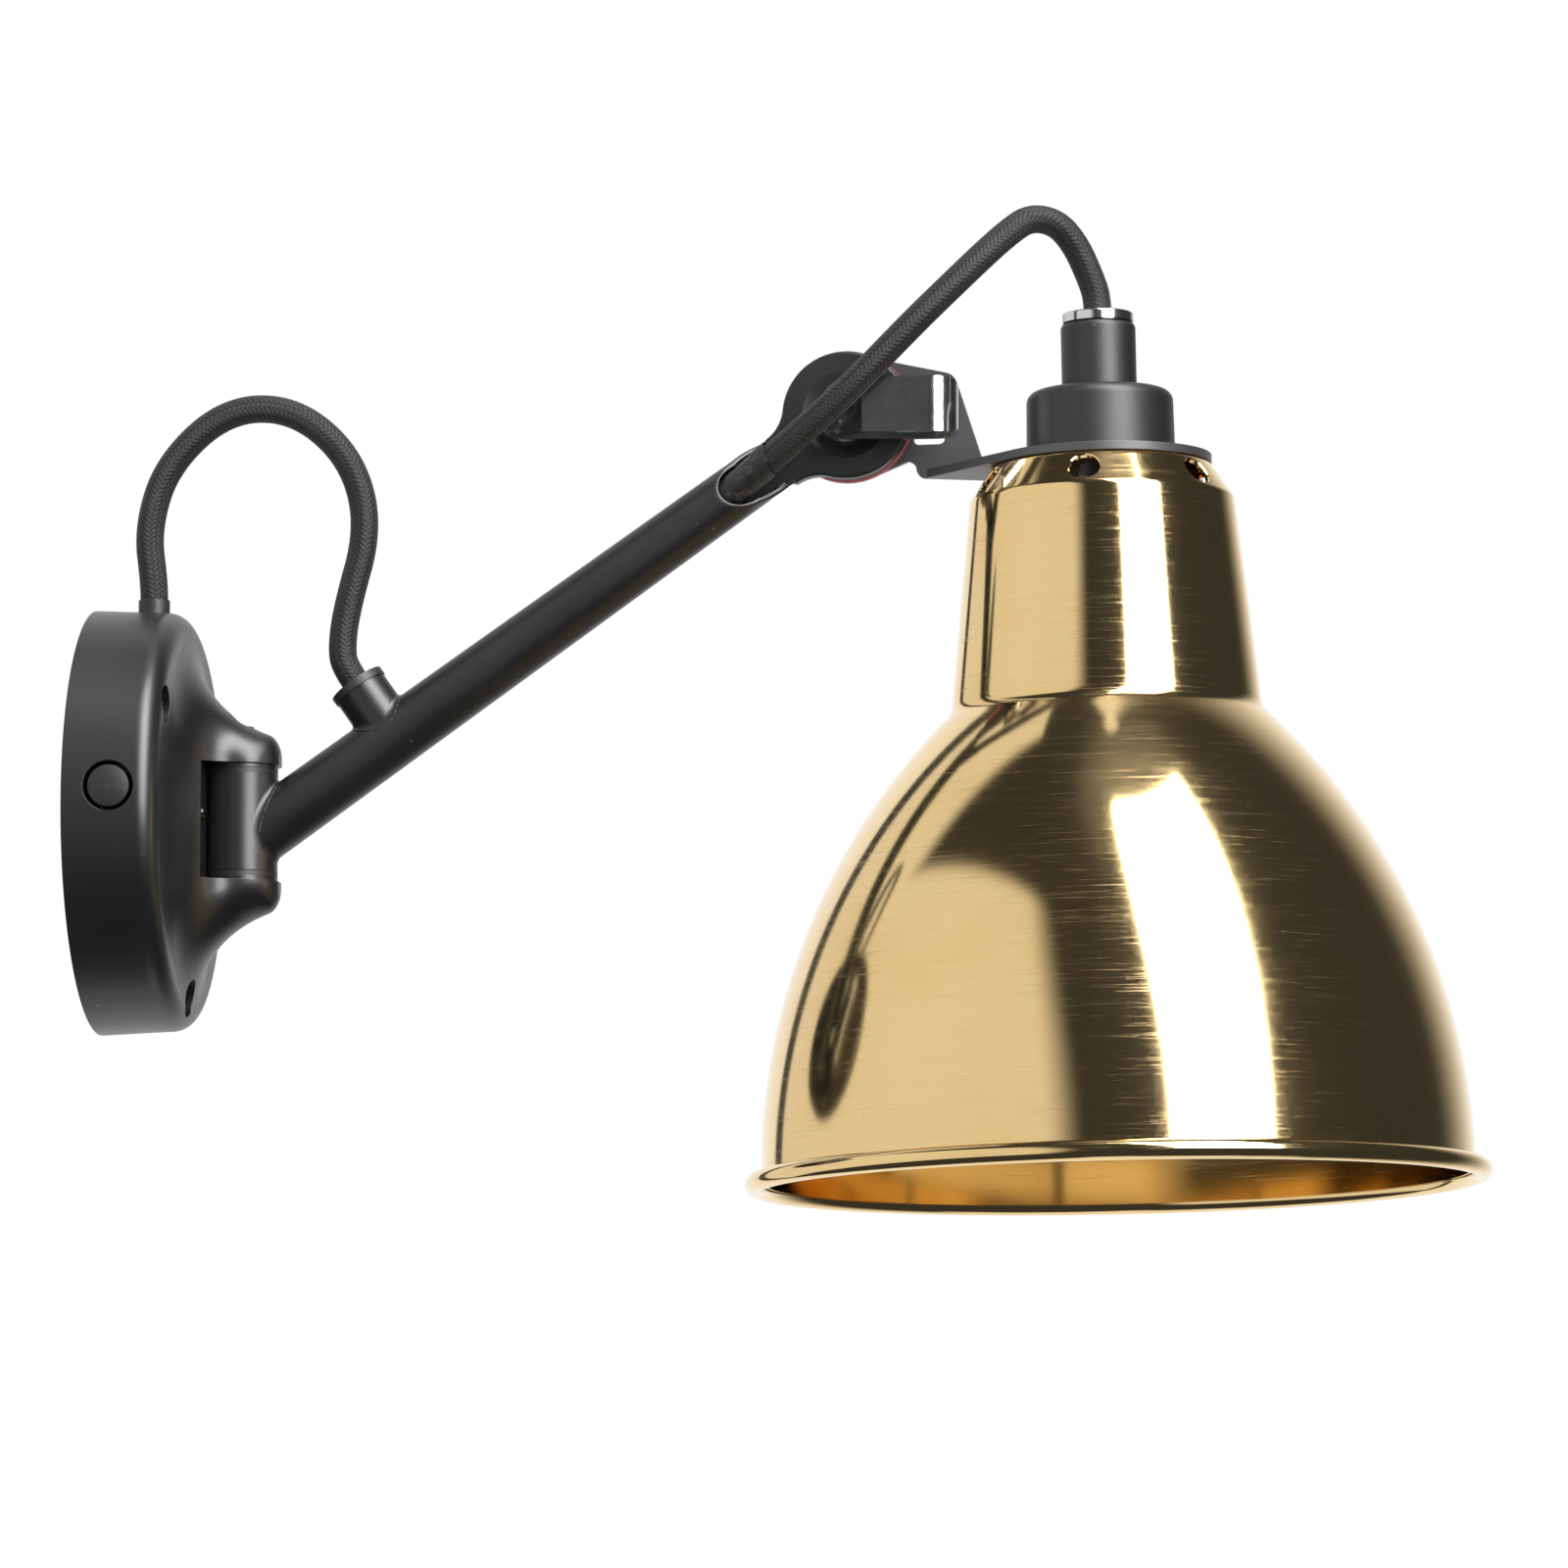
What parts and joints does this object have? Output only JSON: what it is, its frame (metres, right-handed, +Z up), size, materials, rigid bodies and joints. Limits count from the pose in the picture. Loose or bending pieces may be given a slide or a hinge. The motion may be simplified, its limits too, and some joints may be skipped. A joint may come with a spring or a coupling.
{
  "type": "swing arm wall lamp",
  "caption": "Wall lamp with a round cast base, a slanted arm on an upright hinge, a tilting friction joint with a clamp lever, a bell-shaped brass shade and a looped braided cord.",
  "frame": {"origin": "centre of the base's open back, on the wall", "axes": "+X straight out of the wall, +Z up along the swing hinge, +Y away from the side with the button"},
  "size_m": [0.2641, 0.1402, 0.1875],
  "materials": {
    "black_coat": "satin powder coat",
    "holder_coat": "satin",
    "button_black": "matt",
    "washer_black": "matt",
    "steel": "zinc plated",
    "chrome": "polished",
    "red_fibre": "matt",
    "brass": "polished, with fine turning marks",
    "contact_brass": "plain",
    "socket_black": "matt",
    "switch_black": "gloss",
    "terminal_white": "gloss",
    "braid": "braided textile",
    "sleeve_rubber": "matt"
  },
  "bodies": {
    "base": {"wall_base": "black_coat", "hinge_pin": "steel", "hinge_washers": "washer_black", "hinge_set_screw": "steel", "switch_body": "switch_black", "terminal_block": "terminal_white", "terminal_screws": "steel", "block_screw": "steel", "outlet_sleeve": "sleeve_rubber", "feed_cord": "braid", "base_loop_cord": "braid"},
    "button": {"push_button": "button_black"},
    "arm": {"arm_knuckle": "black_coat", "arm_tube": "black_coat", "cord_boss": "black_coat", "boss_ring": "sleeve_rubber", "arm_eye": "black_coat", "arm_cord": "braid", "heat_shrink": "sleeve_rubber", "clamp_washer": "steel", "head_cord": "braid"},
    "lever": {"clamp_lever": "chrome", "clamp_nut": "chrome"},
    "head": {"friction_washer": "red_fibre", "pivot_bolt": "steel", "bracket": "black_coat", "holder_cup": "holder_coat", "holder_neck": "holder_coat", "cord_grip_ring": "chrome", "holder_cord": "braid", "lamp_socket": "socket_black", "socket_shell": "contact_brass", "centre_contact": "contact_brass", "shade_nut": "socket_black", "shade": "brass"}
  },
  "joints": [
    {"name": "arm_swing", "type": "hinge", "parent": "base", "child": "arm", "pos_m": [0.027, 0, 0], "axis": [0, 0, 1], "range_deg": [-70, 70], "deforming": ["base_loop_cord"]},
    {"name": "head_tilt", "type": "hinge", "parent": "arm", "child": "head", "pos_m": [0.14278, 0, 0.07667], "axis": [0, 1, 0], "range_deg": [-90, 30], "deforming": ["head_cord"]},
    {"name": "clamp_turn", "type": "hinge", "parent": "arm", "child": "lever", "pos_m": [0.14278, 0, 0.07667], "axis": [0, 1, 0], "range_deg": [0, 90]},
    {"name": "button_press", "type": "slide", "parent": "base", "child": "button", "axis": [0, 1, 0], "range_m": [0, 0.002], "stiffness_N_per_m": 500, "springref_m": -0.001}
  ]
}
